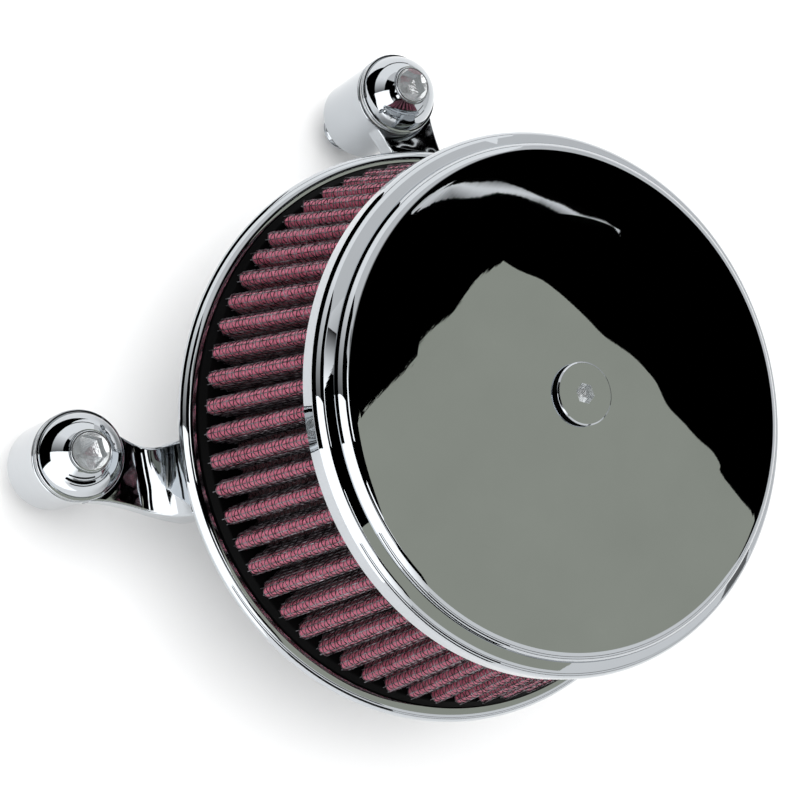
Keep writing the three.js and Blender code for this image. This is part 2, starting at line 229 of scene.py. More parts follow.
def thread_depth(z, angle, thread):
    """How deep a right-hand V thread is at a height and an angle, fading out at its ends."""
    crest_width, flank_width = 0.12, 0.7
    phase = (z / thread.pitch - angle / (2 * math.pi)) % 1
    ramp = np.clip((1 - abs(2 * phase - 1) - crest_width) / flank_width, 0, 1)
    fade = np.clip(np.minimum(z - thread.low, thread.high - z) / thread.pitch, 0, 1)
    return thread.depth * ramp * fade


def turned_rings(points, segments, thread):
    """The vertices of a profile turned round Z, and the indices of each of its rings."""
    angles = np.arange(segments) * 2 * math.pi / segments
    vertices, rings = [], []
    for r, z in points:
        if r < SAME:
            rings.append([len(vertices)])
            vertices.append((0, 0, z))
            continue
        reach = np.full(segments, r)
        if thread and abs(r - thread.radius) < SAME:
            reach = reach - thread_depth(z, angles, thread)
        rings.append(list(range(len(vertices), len(vertices) + segments)))
        vertices.extend(zip(reach * np.cos(angles), reach * np.sin(angles), np.full(segments, z)))
    return vertices, rings


def faces_between(ring, other, segments):
    """Faces from one ring to the next, either of which can be a single point on the axis."""
    faces = []
    for k in range(segments):
        n = (k + 1) % segments
        if len(ring) == 1:
            faces.append((ring[0], other[n], other[k]))
        elif len(other) == 1:
            faces.append((ring[k], ring[n], other[0]))
        else:
            faces.append((ring[k], ring[n], other[n], other[k]))
    return faces


def revolve(name, outline, segments=MEDIUM, radius=0.2, centre=(0, 0), thread=None):
    """Turns an outline of (radius, z, rounding) points round Z into a closed mesh.

    The outline runs from axis to axis or closes on itself.
    """
    closed = outline[0][0] > 0
    points = rounded(outline, closed, radius)
    if thread:
        points = divided(points, thread)
    area = sum(a[0] * b[1] - b[0] * a[1] for a, b in zip(points, points[1:] + points[:1]))
    if area < 0:
        points.reverse()
    vertices, rings = turned_rings(points, segments, thread)
    following = rings[1:] + rings[:1] if closed else rings[1:]
    faces = []
    for ring, other in zip(rings, following):
        faces.extend(faces_between(ring, other, segments))
    return mesh_piece(name, np.array(vertices) + np.array((*centre, 0)), faces)


def prism(name, outline, low, high, tip=0):
    """A straight solid over an outline, with a pointed lower end if tip is given."""
    count = len(outline)
    vertices = [(x, y, low) for x, y in outline] + [(x, y, high) for x, y in outline]
    faces = [tuple(range(count, 2 * count))]
    faces += [(k, (k + 1) % count, (k + 1) % count + count, k + count) for k in range(count)]
    if tip:
        vertices.append((*np.mean(np.array(outline), axis=0), low - tip))
        faces += [((k + 1) % count, k, 2 * count) for k in range(count)]
    else:
        faces.append(tuple(reversed(range(count))))
    return mesh_piece(name, vertices, faces)


def ring_outline(centre, radius, sides, turn=0):
    """The corners of a regular polygon, its first one turned from X."""
    angles = [2 * math.pi * k / sides + turn for k in range(sides)]
    return [(centre[0] + radius * math.cos(a), centre[1] + radius * math.sin(a)) for a in angles]


def hexagon(name, centre, across_flats, low, high, tip=0):
    """A hexagonal bar, or the tool that cuts a hexagon socket with a pointed floor."""
    return prism(name, ring_outline(centre, across_flats / math.sqrt(3), 6), low, high, tip)


def drill(name, centre, radius, low, high, sides=48):
    return prism(name, ring_outline(centre, radius, sides), low, high)


def rod(name, start, end, radius, sides=32):
    """A straight round bar between two points in any direction."""
    start, end = Vector(start), Vector(end)
    turn = (end - start).to_track_quat("Z", "Y")
    vertices = []
    for middle in (start, end):
        for x, y in ring_outline((0, 0), radius, sides):
            vertices.append(middle + turn @ Vector((x, y, 0)))
    faces = [tuple(reversed(range(sides))), tuple(range(sides, 2 * sides))]
    for k in range(sides):
        n = (k + 1) % sides
        faces.append((k, n, n + sides, k + sides))
    return mesh_piece(name, vertices, faces)


def combine(base, tools, operation="DIFFERENCE"):
    """Cuts the tools out of a mesh, or joins them to it, and removes them."""
    for tool in tools:
        step = base.modifiers.new("step", "BOOLEAN")
        step.operation = operation
        step.solver = "EXACT"
        step.object = tool
        apply(base, step)
        bpy.data.objects.remove(tool)
    smooth(base)
    return base


def mark_bare(piece, centre, radius, high):
    """Marks faces near a centre and below a height as bare, for a drive socket's satin metal and the
    painted light that makes it paler.
    """
    bare = piece.data.attributes.new("bare", "FLOAT", "FACE")
    for face in piece.data.polygons:
        middle = face.center
        away = math.hypot(middle.x - centre[0], middle.y - centre[1])
        bare.data[face.index].value = float(away < radius and middle.z < high)


def polar(radius, degrees):
    """A point of the XY plane by its distance from the axis and its angle."""
    angle = math.radians(degrees)
    return radius * math.cos(angle), radius * math.sin(angle)


# ---------------- materials
class Nodes:
    """A material's node tree, with short calls for the nodes used here."""

    def __init__(self, name):
        self.material = bpy.data.materials.new(name)
        self.material.use_nodes = True
        self.tree = self.material.node_tree
        self.shader = self.tree.nodes["Principled BSDF"]

    def add(self, kind, **inputs):
        node = self.tree.nodes.new(kind)
        for name, value in inputs.items():
            self.put(node.inputs[name.replace("_", " ")], value)
        return node

    def put(self, socket, value):
        if isinstance(value, bpy.types.NodeSocket):
            self.tree.links.new(value, socket)
        else:
            socket.default_value = value

    def set(self, **values):
        """Values or links for the shader's own sockets."""
        for name, value in values.items():
            self.put(self.shader.inputs[name.replace("_", " ")], value)

    def position(self, stretch=(1, 1, 1)):
        """The place on the piece, in metres, stretched along its axes."""
        place = self.add("ShaderNodeTexCoord").outputs["Object"]
        mapping = self.add("ShaderNodeMapping", Vector=place)
        mapping.inputs["Scale"].default_value = stretch
        return mapping.outputs["Vector"]

    def noise(self, scale, detail=4, stretch=(1, 1, 1)):
        node = self.add("ShaderNodeTexNoise", Vector=self.position(stretch), Scale=scale, Detail=detail)
        return node.outputs["Fac"]

    def spread(self, value, low, high, start=0.3, end=0.7):
        """Moves a value between start and end to a value between low and high."""
        node = self.add("ShaderNodeMapRange")
        self.put(node.inputs["Value"], value)
        self.put(node.inputs["From Min"], start)
        self.put(node.inputs["From Max"], end)
        self.put(node.inputs["To Min"], low)
        self.put(node.inputs["To Max"], high)
        return node.outputs["Result"]

    def math(self, operation, first, second=0.0):
        node = self.tree.nodes.new("ShaderNodeMath")
        node.operation = operation
        self.put(node.inputs[0], first)
        self.put(node.inputs[1], second)
        return node.outputs["Value"]

    def ramp(self, value, *stops):
        node = self.add("ShaderNodeValToRGB", Fac=value)
        elements = node.color_ramp.elements
        while len(elements) < len(stops):
            elements.new(0.5)
        for element, (place, color) in zip(elements, stops):
            element.position = place
            element.color = (*color, 1)
        return node.outputs["Color"]

    def bump(self, height, strength, distance, under=None):
        node = self.add("ShaderNodeBump", Height=height, Strength=strength, Distance=distance)
        if under is not None:
            self.put(node.inputs["Normal"], under)
        return node.outputs["Normal"]


def axis_distance(m, from_x=0.0, from_y=0.0):
    """Metres from an upright axis, given in millimetres, or from its mirror image in X."""
    parts = m.add("ShaderNodeSeparateXYZ", Vector=m.position())
    across = m.math("SUBTRACT", m.math("ABSOLUTE", parts.outputs["X"]), from_x * MM)
    up = m.math("SUBTRACT", parts.outputs["Y"], from_y * MM)
    squares = [m.math("MULTIPLY", side, side) for side in (across, up)]
    return m.math("SQRT", m.math("ADD", *squares))


def on_the_arms(m):
    """1 on the faces of the arms, 0 on the posts and the dish."""
    post_distance = axis_distance(m, *polar(POST_DISTANCE, 90 - POST_ANGLE))
    off_post = m.spread(post_distance, 0.0, 1.0, (POST_R + 0.1) * MM, (POST_R + 1.5) * MM)
    off_rim = m.spread(axis_distance(m), 0.0, 1.0, (RIM_R + 0.5) * MM, (RIM_R + 2.5) * MM)
    return m.math("MULTIPLY", off_post, off_rim)


def on_the_face(m):
    """1 on the cover's domed face, 0 on its shoulder, ledge and skirt."""
    return m.spread(axis_distance(m), 1.0, 0.0, (COVER_FACE_R - 16) * MM, (COVER_FACE_R - 1) * MM)


def chrome(name, tint, waviness, ripple_scale, haze, where=None):
    """Polished plating: faint ripples of the metal beneath, fine wipe marks and a breath of haze.

    The ripples keep to the faces picked out by where, if it is given. Where a mesh is marked
    bare, in its drive sockets, the metal is satin, and its colour is made paler as painted light in the
    socket.
    """
    m = Nodes(name)
    swell = m.noise(ripple_scale, 1)
    if where:
        swell = m.math("MULTIPLY", swell, m.math("ADD", 0.08, where(m)))
    ripples = m.bump(swell, waviness, 0.001)
    wipes = m.noise(160, 3, (1, 9, 3))
    wiped = m.bump(wipes, 0.012, 0.0001, ripples)
    socket = m.add("ShaderNodeAttribute")
    socket.attribute_name = "bare"
    bare = socket.outputs["Fac"]
    tool_marks = m.math("MULTIPLY", m.noise(1100, 2), bare)
    dark = tuple(0.94 * c for c in tint)
    # Painted light: the socket's satin colour is paler than the plating, to stand in for room light
    # falling into the socket
    satin = (0.70, 0.72, 0.73)
    tone = m.math("ADD", m.math("MULTIPLY", m.noise(45, 5), 0.7), m.math("MULTIPLY", bare, 0.5))
    polish = m.spread(m.math("MULTIPLY", wipes, m.noise(22, 4)), haze * 0.4, haze, 0.1, 0.45)
    m.set(
        Metallic=m.math("SUBTRACT", 1.0, m.math("MULTIPLY", bare, 0.25)),
        Base_Color=m.ramp(tone, (0.2, dark), (0.5, tint), (0.9, satin)),
        Roughness=m.math("ADD", polish, m.math("MULTIPLY", bare, 0.14)),
        Normal=m.bump(tool_marks, 0.5, 0.0002, wiped),
    )
    return m.material


def turned_aluminium():
    """Machined aluminium with fine tool marks that run round the part."""
    m = Nodes("turned_aluminium")
    lines = m.noise(900, 2, (1, 1, 6))
    m.set(
        Metallic=1.0,
        Base_Color=m.ramp(m.noise(60), (0.3, (0.55, 0.56, 0.58)), (0.7, (0.72, 0.73, 0.74))),
        Roughness=m.spread(lines, 0.24, 0.42),
        Normal=m.bump(lines, 0.15, 0.0001),
    )
    return m.material


def zinc_plate():
    """Clear zinc with its cloudy, slightly blue-yellow patches."""
    m = Nodes("zinc_plate")
    clouds = m.noise(110, 5)
    m.set(
        Metallic=1.0,
        Base_Color=m.ramp(
            clouds,
            (0.3, (0.42, 0.44, 0.48)),
            (0.55, (0.58, 0.58, 0.57)),
            (0.75, (0.66, 0.63, 0.54)),
        ),
        Roughness=m.spread(clouds, 0.22, 0.4),
        Normal=m.bump(m.noise(1500, 2), 0.08, 0.0001),
    )
    return m.material


def urethane():
    """Moulded black urethane: satin, with flow marks and small pits."""
    m = Nodes("black_urethane")
    pits = m.noise(900, 3)
    flow = m.noise(35, 4)
    m.set(
        Base_Color=m.ramp(flow, (0.3, (0.0005, 0.0005, 0.0006)), (0.75, (0.002, 0.002, 0.0022))),
        Roughness=m.spread(flow, 0.5, 0.65),
        Normal=m.bump(pits, 0.25, 0.0003, m.bump(flow, 0.3, 0.001)),
    )
    m.shader.inputs["Specular IOR Level"].default_value = 0.04
    return m.material


def gasket_fibre():
    m = Nodes("gasket_fibre")
    fibres = m.noise(700, 6, (1, 3, 1))
    m.set(
        Base_Color=m.ramp(fibres, (0.3, (0.05, 0.055, 0.05)), (0.7, (0.17, 0.18, 0.16))),
        Roughness=m.spread(fibres, 0.8, 0.95),
        Normal=m.bump(fibres, 0.5, 0.0003),
    )
    return m.material


def red_gauze():
    """Oiled red cotton: painted light makes it pale on the pleats' crests, and painted shade makes it
    dark down in the pleats.
    """
    m = Nodes("red_gauze")
    weave = m.add("ShaderNodeAttribute")
    weave.attribute_name = "weave"
    parts = m.add("ShaderNodeSeparateXYZ", Vector=weave.outputs["Vector"])
    along, up, crest = parts.outputs["X"], parts.outputs["Y"], parts.outputs["Z"]
    threads = []
    for coordinate in (along, up):
        turns = m.math("MULTIPLY", coordinate, 2 * math.pi * THREADS_PER_CELL)
        threads.append(m.math("SINE", turns))
    cloth = m.math("MULTIPLY", threads[0], threads[1])
    blotches = m.math("MULTIPLY_ADD", m.noise(140, 5), 0.35)
    blotches.node.inputs[2].default_value = -0.17
    # Painted shade and painted light: the pleat's depth darkens the cloth in the valleys and makes it
    # paler on the crests; the noise adds random blotches of tone
    height = m.math("ADD", crest, blotches)
    m.set(
        Base_Color=m.ramp(
            height,
            (0.0, (0.05, 0.002, 0.008)),
            (0.45, (0.20, 0.012, 0.036)),
            (0.8, (0.40, 0.045, 0.105)),
            (1.0, (0.54, 0.115, 0.195)),
        ),
        Roughness=m.spread(cloth, 0.62, 0.85, -1, 1),
        Normal=m.bump(cloth, 0.35, 0.0002, m.bump(m.noise(2200, 4), 0.3, 0.0002)),
    )
    m.shader.inputs["Sheen Weight"].default_value = 0.25
    m.shader.inputs["Sheen Roughness"].default_value = 0.4
    return m.material


def coated_wire(name, dark, pale):
    """Wire in a thin dark coat that has rubbed through here and there; the pale patches are also painted
    glints.
    """
    m = Nodes(name)
    rubs_and_glints = m.noise(500, 4)
    m.set(
        Metallic=0.75,
        # Painted glints: the pale, rubbed-through patches are kept light to stand in for glints on the
        # wire
        Base_Color=m.ramp(rubs_and_glints, (0.4, dark), (0.72, pale)),
        Roughness=m.spread(rubs_and_glints, 0.45, 0.28),
        Normal=m.bump(rubs_and_glints, 0.2, 0.00005),
    )
    return m.material


CHROME_TINT = (0.485, 0.51, 0.535)
MATERIALS = {
    "chrome_plate": chrome("chrome_on_casting", CHROME_TINT, 0.55, 95, 0.07, on_the_arms),
    "chrome_cover": chrome("chrome_on_pressing", CHROME_TINT, 0.17, 42, 0.02, on_the_face),
    "chrome_hardware": chrome("chrome_on_screws", CHROME_TINT, 0.03, 90, 0.06),
    "aluminium": turned_aluminium(),
    "zinc_steel": zinc_plate(),
    "red_gauze": red_gauze(),
    # The wire's pale colour is partly painted glints
    "wire_screen": coated_wire("coated_wire", (0.02, 0.018, 0.021), (0.34, 0.33, 0.36)),
    "black_urethane": urethane(),
    "gasket": gasket_fibre(),
}
BODY_OF = {n: body for body, nodes in RECORD["behaviour"]["bodies"].items() for n in nodes}
SLOT_OF = {part["node"]: part["material_slot"] for part in RECORD["subparts"]}


def dress(piece, node, slot):
    """Gives a finished piece a node's body and a slot's material."""
    finish_mesh(piece)
    piece.data.materials.clear()
    piece.data.materials.append(MATERIALS[slot])
    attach(piece, BODY_OF[node])


def stand_for(piece, *nodes):
    """Dresses a piece as its first node, and hides the nodes it stands for."""
    dress(piece, nodes[0], SLOT_OF[nodes[0]])
    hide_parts(*nodes)


# ---------------- backplate casting
SIDES = {"left": (90 + POST_ANGLE, 1), "right": (90 - POST_ANGLE, -1)}
SUPPORT_ANGLES = (90, 210, 330)
INTAKE_ANGLES = (30, 150, 270)
INTAKE_SCREW_R = 30.5


def arm_point(side, distance, offset):
    """A point by its distance along a post's radial line and its offset away from +Y."""
    degrees, outward = SIDES[side]
    x, y = polar(1, degrees)
    return distance * x - offset * outward * y, distance * y + offset * outward * x


def plate_body():
    """The turned dish: throat flange, web, rim with a rounded bead, and a low ring on its floor."""
    return revolve("fine_backplate", [
        (THROAT_R, FLANGE_Z, 0.4),
        (38, FLANGE_Z, 0.5),
        (38.8, WEB_Z, 1.2),
        (75.6, WEB_Z, 2.2),
        (79.1, COVE_TOP_Z + 0.6, 1.5),
        (79.1, RIM_Z - 3.8, 0.5),
        (RIM_R - 0.3, RIM_Z - 3.6, 0.2),
        *arc(RIM_INNER_R + 0.6, RIM_Z - 3.1, RIM_R - RIM_INNER_R - 0.6, 0, 84, 14, 3.1),
        (RIM_INNER_R, RIM_Z - 0.1, 0.1),
        (RIM_INNER_R, FLOOR_Z, 0.8),
        (57.1, FLOOR_Z, 0.4),
        (56.8, FLOOR_Z + 2.6, 0.6),
        (54.6, FLOOR_Z + 2.6, 0.6),
        (54.3, FLOOR_Z, 0.4),
        (THROAT_R, FLOOR_Z, 0.6),
    ], FINE)


# Each arm's two edges, as points of distance along the post's line and offset from it.
ARM_INNER_EDGE = ((40, 3), (46, 2), (60, -1), (70, -4.5), (76, -2.8), (80.5, -0.6), (85, -1.8),
                  (90, -4.8), (95, -8.4), (100, -11.6))
ARM_OUTER_EDGE = ((40, 11.5), (46, 13), (60, 16), (72, 19.6), (80, 17.4), (88, 14.4), (95, 12.5),
                  (100, 11.9))


def edge_angle(edge, radius):
    """The angle from the post's line at which a softened edge crosses a circle."""
    radii = [math.hypot(*point) for point in edge]
    angles = [math.atan2(offset, distance) for distance, offset in edge]
    reach = np.linspace(radius - 2.5, radius + 2.5, 11)
    return float(np.mean(np.interp(reach, radii, angles)))


def arm_front(radius):
    """Height of an arm's front face: flat from the post to the crease, then up in a cove."""
    if radius >= CREASE_R:
        return POST_FRONT_Z - 0.02
    if radius >= CREASE_R - COVE_R:
        run = (CREASE_R - radius) / COVE_R
        return COVE_TOP_Z - (COVE_TOP_Z - POST_FRONT_Z) * math.sqrt(max(0, 1 - run * run))
    return COVE_TOP_Z + 0.4 if radius > 78 else WEB_Z + 1.4


def arm_rear(radius):
    """Height of an arm's rear face, which slopes from the flange to the post."""
    slope = (radius - 46) / 20
    return FLANGE_Z + 0.6 + (ARM_REAR_Z - FLANGE_Z - 0.6) * np.clip(slope, 0, 1) ** 1.2


def arm_stations():
    """Radii of an arm's cross-sections, closest together round the cove."""
    flat = np.linspace(101, CREASE_R + 0.25, 14)
    cove = [CREASE_R - COVE_R * math.sin(math.radians(a)) for a in np.linspace(0, 90, 26)]
    under = (78.6, 76.4, *np.linspace(75.8, 44, 26))
    return [*flat, *cove, *under]


def arm_section(inner, outer, rear, front):
    """An oblong with rounded corners, softer at the rear."""
    rear_r, front_r, steps = 1.6, 0.9, 5
    return [
        *arc(inner + rear_r, rear + rear_r, rear_r, 180, 270, steps),
        *arc(outer - rear_r, rear + rear_r, rear_r, 270, 360, steps),
        *arc(outer - front_r, front - front_r, front_r, 360, 450, steps),
        *arc(inner + front_r, front - front_r, front_r, 450, 540, steps),
    ]


def arm_bar(side):
    """An arm as a loft of rounded oblongs that lie on circles round the filter's axis."""
    degrees, outward = SIDES[side]
    vertices, faces = [], []
    stations = arm_stations()
    for radius in stations:
        inner = edge_angle(ARM_INNER_EDGE, radius) * radius
        outer = edge_angle(ARM_OUTER_EDGE, radius) * radius
        section = arm_section(inner, outer, arm_rear(radius), arm_front(radius))
        for across, z, _ in section:
            x, y = polar(radius, degrees + outward * math.degrees(across / radius))
            vertices.append((x, y, z))
    count = len(section)
    for i in range(len(stations) - 1):
        for k in range(count):
            n = (k + 1) % count
            quad = (i * count + k, i * count + n, (i + 1) * count + n, (i + 1) * count + k)
            faces.append(quad[::outward])
    last = (len(stations) - 1) * count
    faces.append(tuple(reversed(range(count)))[::outward])
    faces.append(tuple(range(last, last + count))[::outward])
    return mesh_piece("arm", vertices, faces)


def post_body(side):
    """A post: bored for its bolt, grooved inside for the gas, and stepped at the rear for its seal."""
    seal_r = 9.9
    groove_r = BORE_R + 1.6
    return revolve("post", [
        (BORE_R, POST_FRONT_Z, 0.3),
        (POST_R, POST_FRONT_Z, 0.5),
        (POST_R - 0.25, POST_REAR_Z, 0.9),
        (seal_r, POST_REAR_Z, 0.3),
        (seal_r, POST_REAR_Z + 2.3, 0.2),
        (BORE_R, POST_REAR_Z + 2.3, 0.3),
        (BORE_R, BREATHER_Z - 2.6, 0.2),
        (groove_r, BREATHER_Z - 2.6, 0.2),
        (groove_r, BREATHER_Z + 2.2, 0.2),
        (BORE_R, BREATHER_Z + 2.2, 0.2),
    ], centre=arm_point(side, POST_DISTANCE, 0))


def breather_passage(side):
    """The drilled way from a post's groove, along its arm, and up through the dish's floor."""
    start = (*arm_point(side, POST_DISTANCE - 7.4, 1), BREATHER_Z)
    turn = (*arm_point(side, 72, 8), BREATHER_Z)
    end = (*arm_point(side, 50, 8), FLOOR_Z + 2)
    return [rod("passage", start, turn, 2.1), rod("passage", turn, end, 2.4)]


def backplate():
    """The whole casting: dish, arms, posts and bosses, drilled."""
    casting = plate_body()
    for side in SIDES:
        post_centre = arm_point(side, POST_DISTANCE, 0)
        hollow = drill("hollow", post_centre, POST_R - 1.5, ARM_REAR_Z - 9, 4, 96)
        arm = combine(arm_bar(side), [hollow])
        casting = combine(casting, [arm, post_body(side)], "UNION")
    bosses, holes = [], []
    for degrees in SUPPORT_ANGLES:
        centre = polar(SUPPORT_R, degrees)
        bosses.append(revolve("boss", [
            (0, FLANGE_Z + 0.01), (6.6, FLANGE_Z + 0.01, 0.6), (6.6, WEB_Z + 1, 0.2), (0, WEB_Z + 1),
        ], 64, centre=centre))
        holes.append(drill("hole", centre, 3.2, FLANGE_Z + 1.2, FLOOR_Z + 1))
    for degrees in INTAKE_ANGLES:
        holes.append(drill("hole", polar(INTAKE_SCREW_R, degrees), 3.5, FLANGE_Z - 1, FLOOR_Z + 1))
    for side in SIDES:
        holes.extend(breather_passage(side))
    combine(casting, bosses, "UNION")
    combine(casting, holes)
    stand_for(casting, "backplate", "left_breather_arm", "right_breather_arm")


# ---------------- intake side
def intake_gasket():
    low, high = box_mm("intake_gasket")
    gasket = revolve("fine_intake_gasket", [
        (23.6, low.z), (high.x, low.z), (high.x, high.z), (23.6, high.z),
    ], 128, 0.1)
    holes = [drill("hole", polar(INTAKE_SCREW_R, a), 3.5, low.z - 1, high.z + 1) for a in INTAKE_ANGLES]
    stand_for(combine(gasket, holes), "intake_gasket")


def intake_horn():
    """A flanged ring whose bore flares into a rolled lip."""
    flange_top = HORN_LOW.z + 3
    horn = revolve("fine_intake_horn", [
        (THROAT_R, HORN_LOW.z, 0.3),
        (HORN_HIGH.x, HORN_LOW.z, 0.3),
        (HORN_HIGH.x, flange_top, 0.5),
        (25.1, flange_top, 0.6),
        *arc(24.6, HORN_HIGH.z - 0.6, 0.5, 0, 90, 4),
        *arc(25, flange_top + 0.4, 2.5, 100, 180, 12, 4),
    ], 160)
    holes = [drill("hole", polar(INTAKE_SCREW_R, a), 3.5, FLOOR_Z, RIM_Z) for a in INTAKE_ANGLES]
    stand_for(combine(horn, holes), "intake_horn")


def intake_screw(node):
    low, high = box_mm(node)
    centre = centre_mm(node).xy
    seat = high.z - 4.1
    screw = revolve(f"fine_{node}", [
        (0, low.z), (2.4, low.z, 0.2), (3, low.z + 0.7, 0.2), (3, seat, 0.2),
        (4.8, seat, 0.3), (4.8, high.z, 0.6), (0, high.z),
    ], 72, centre=centre, thread=Thread(3, low.z + 0.4, seat - 12, 1.27, 0.62))
    combine(screw, [hexagon("socket", centre, 4.8, high.z - 2.7, high.z + 1, 1)])
    mark_bare(screw, centre, 2.8, high.z - 0.05)
    stand_for(screw, node)


# ---------------- cover support
def standoff(node):
    """A hexagonal spacer with chamfered ends, a threaded stud at its rear and a hole in its front."""
    low, high = box_mm(node)
    centre = centre_mm(node).xy
    across_flats = high.x - low.x
    body_low = FLOOR_Z + 0.3
    round_bar = revolve(f"fine_{node}", [
        (0, body_low), (across_flats * 0.5, body_low, 0), (across_flats * 0.575, body_low + 0.8, 0),
        (across_flats * 0.575, high.z - 0.8, 0), (across_flats * 0.5, high.z, 0), (0, high.z),
    ], 96, centre=centre)
    hex_bar = hexagon("hex", centre, across_flats, body_low - 1, high.z + 1)
    combine(round_bar, [hex_bar], "INTERSECT")
    stud_r, stud_top = 2.85, body_low + 1
    stud = revolve("stud", [
        (0, low.z), (2.3, low.z, 0.2), (stud_r, low.z + 0.7, 0.2), (stud_r, stud_top, 0), (0, stud_top),
    ], 64, centre=centre, thread=Thread(stud_r, low.z + 0.3, body_low, 1.27, 0.6))
    combine(round_bar, [stud], "UNION")
    stand_for(combine(round_bar, [drill("tap", centre, 2.75, high.z - 13, high.z + 1)]), node)


def cover_bracket():
    """A flat three-legged plate, wider at the end of each leg."""
    low, high = BRACKET_LOW.z, BRACKET_HIGH.z
    leg_half = 5
    end_r = 6.4
    outline = []
    for degrees in SUPPORT_ANGLES:
        x, y = polar(1, degrees)
        for across in (-leg_half, leg_half):
            outline.append((15 * x - across * y, 15 * y + across * x, 6))
        outline[-1:-1] = [
            (reach * x - across * y, reach * y + across * x, end_r)
            for reach, across in (
                (SUPPORT_R - 8, -leg_half), (SUPPORT_R + end_r, -end_r), (SUPPORT_R + end_r, end_r),
                (SUPPORT_R - 8, leg_half),
            )
        ]
    bracket = prism("fine_cover_bracket", rounded(outline, True), low, high)
    holes = [drill("hole", polar(SUPPORT_R, a), 2.8, low - 1, high + 1) for a in SUPPORT_ANGLES]
    holes.append(drill("hole", (0, 0), 6.8, low - 1, high + 1, 64))
    stand_for(combine(bracket, holes), "cover_bracket")


def bracket_screw(node):
    low, high = box_mm(node)
    centre = centre_mm(node).xy
    seat = high.z - 2.6
    screw = revolve(f"fine_{node}", [
        (0, low.z), (1.9, low.z, 0.2), (2.4, low.z + 0.6, 0.2), (2.4, seat, 0.2), (4.6, seat, 0.3),
        (4.3, seat + 1.4, 0.9), (2.8, high.z, 0.8), (0, high.z),
    ], 72, centre=centre, thread=Thread(2.4, low.z + 0.3, seat - 3, 0.8, 0.4))
    combine(screw, [hexagon("socket", centre, 3.2, high.z - 1.8, high.z + 1, 0.8)])
    mark_bare(screw, centre, 1.9, high.z - 0.05)
    stand_for(screw, node)


def cover_nut():
    """A collared nut that sits in the bracket's middle hole."""
    low, high = box_mm("cover_nut")
    bore = 4.35
    stand_for(revolve("fine_cover_nut", [
        (bore, low.z, 0.4), (6.5, low.z, 0.4), (6.5, high.z - 1.8, 0.2), (high.x, high.z - 1.8, 0.3),
        (high.x, high.z, 0.4), (bore, high.z, 0.4),
    ], 80), "cover_nut")


# ---------------- filter element
def fold_outline(count):
    """Evenly spaced points round the wire mesh's pleats, from a crest, and their outward normals."""
    half = math.pi / PLEATS
    crest = np.array((MESH_R - CREST_ROUNDING, 0))
    valley = np.array(polar(MESH_VALLEY_R + VALLEY_ROUNDING, 180 / PLEATS))
    between = valley - crest
    touch = math.atan2(between[1], between[0])
    touch -= math.acos((CREST_ROUNDING + VALLEY_ROUNDING) / np.linalg.norm(between))
    crest_turns, valley_turns = np.linspace(0, touch, 14), np.linspace(touch, half, 9)
    flank = np.vstack([
        crest + CREST_ROUNDING * np.column_stack([np.cos(crest_turns), np.sin(crest_turns)]),
        valley - VALLEY_ROUNDING * np.column_stack([np.cos(valley_turns), np.sin(valley_turns)]),
    ])
    radii = np.linalg.norm(flank, axis=1)
    angles = np.arctan2(flank[:, 1], flank[:, 0])
    fold_radii = np.concatenate([radii, radii[-2:0:-1]])
    fold_angles = np.concatenate([angles, 2 * half - angles[-2:0:-1]])
    all_angles = (fold_angles + 2 * half * np.arange(PLEATS)[:, None]).ravel()
    directions = np.column_stack([np.cos(all_angles), np.sin(all_angles)])
    dense = np.tile(fold_radii, PLEATS)[:, None] * directions
    loop = np.vstack([dense, dense[:1]])
    travel = np.concatenate([[0], np.cumsum(np.linalg.norm(np.diff(loop, axis=0), axis=1))])
    wanted = np.arange(count) * travel[-1] / count
    points = np.stack([np.interp(wanted, travel, loop[:, k]) for k in range(2)], axis=1)
    tangent = np.roll(points, -1, axis=0) - np.roll(points, 1, axis=0)
    tangent /= np.linalg.norm(tangent, axis=1)[:, None]
    return points, np.stack([tangent[:, 1], -tangent[:, 0]], axis=1)


def taper_at(z):
    """How wide the element is at a height, over its width at the rear."""
    return 1 + (TAPER - 1) * (z - MEDIA_REAR_Z) / (MEDIA_FRONT_Z - MEDIA_REAR_Z)


def grid_faces(rows, columns):
    """Quads of a grid that is closed round its columns, facing outwards."""
    index = np.arange(rows * columns).reshape(rows, columns)
    here, above = index[:-1], index[1:]
    beside, both = np.roll(here, -1, axis=1), np.roll(above, -1, axis=1)
    return np.stack([here, beside, both, above], axis=-1).reshape(-1, 4)


